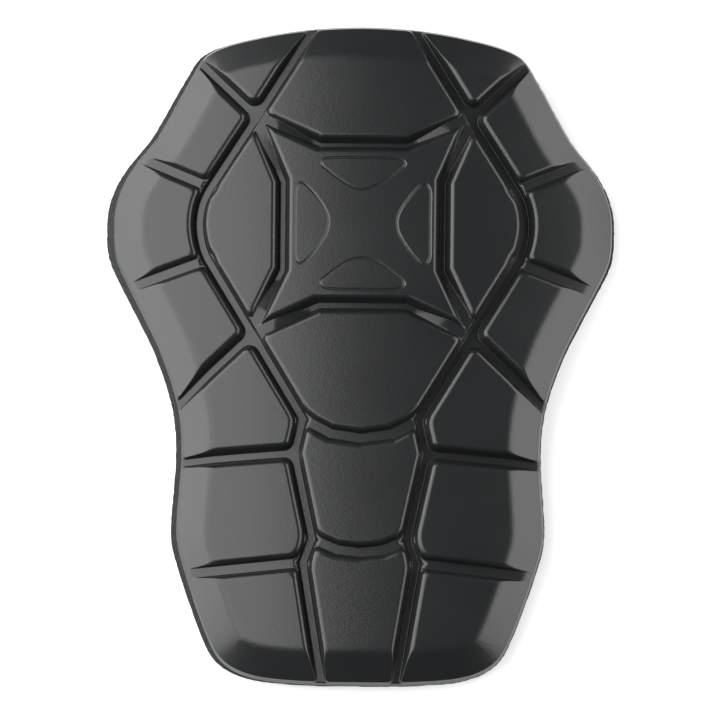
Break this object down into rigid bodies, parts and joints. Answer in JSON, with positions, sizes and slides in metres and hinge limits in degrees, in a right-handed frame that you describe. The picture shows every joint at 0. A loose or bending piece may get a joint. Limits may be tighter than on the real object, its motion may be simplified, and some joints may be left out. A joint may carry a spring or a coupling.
{
  "type": "knee pad insert",
  "caption": "Thin curved knee pad insert: a moulded black face of raised tiles split by flex grooves, with a star-shaped centre tile, on a die-cut foam backing.",
  "frame": {"origin": "centre of the box around the pad, at the level of the ground that it lies on, hollow side down", "axes": "+Y up the leg along the pad, +X across the leg, +Z out of the moulded face"},
  "size_m": [0.1868, 0.2426, 0.0259],
  "materials": {
    "moulded_skin": "satin",
    "backing_foam": "matt, open cut edge"
  },
  "bodies": {
    "root": {"moulded_face": "moulded_skin", "foam_backing": "backing_foam"}
  },
  "joints": []
}
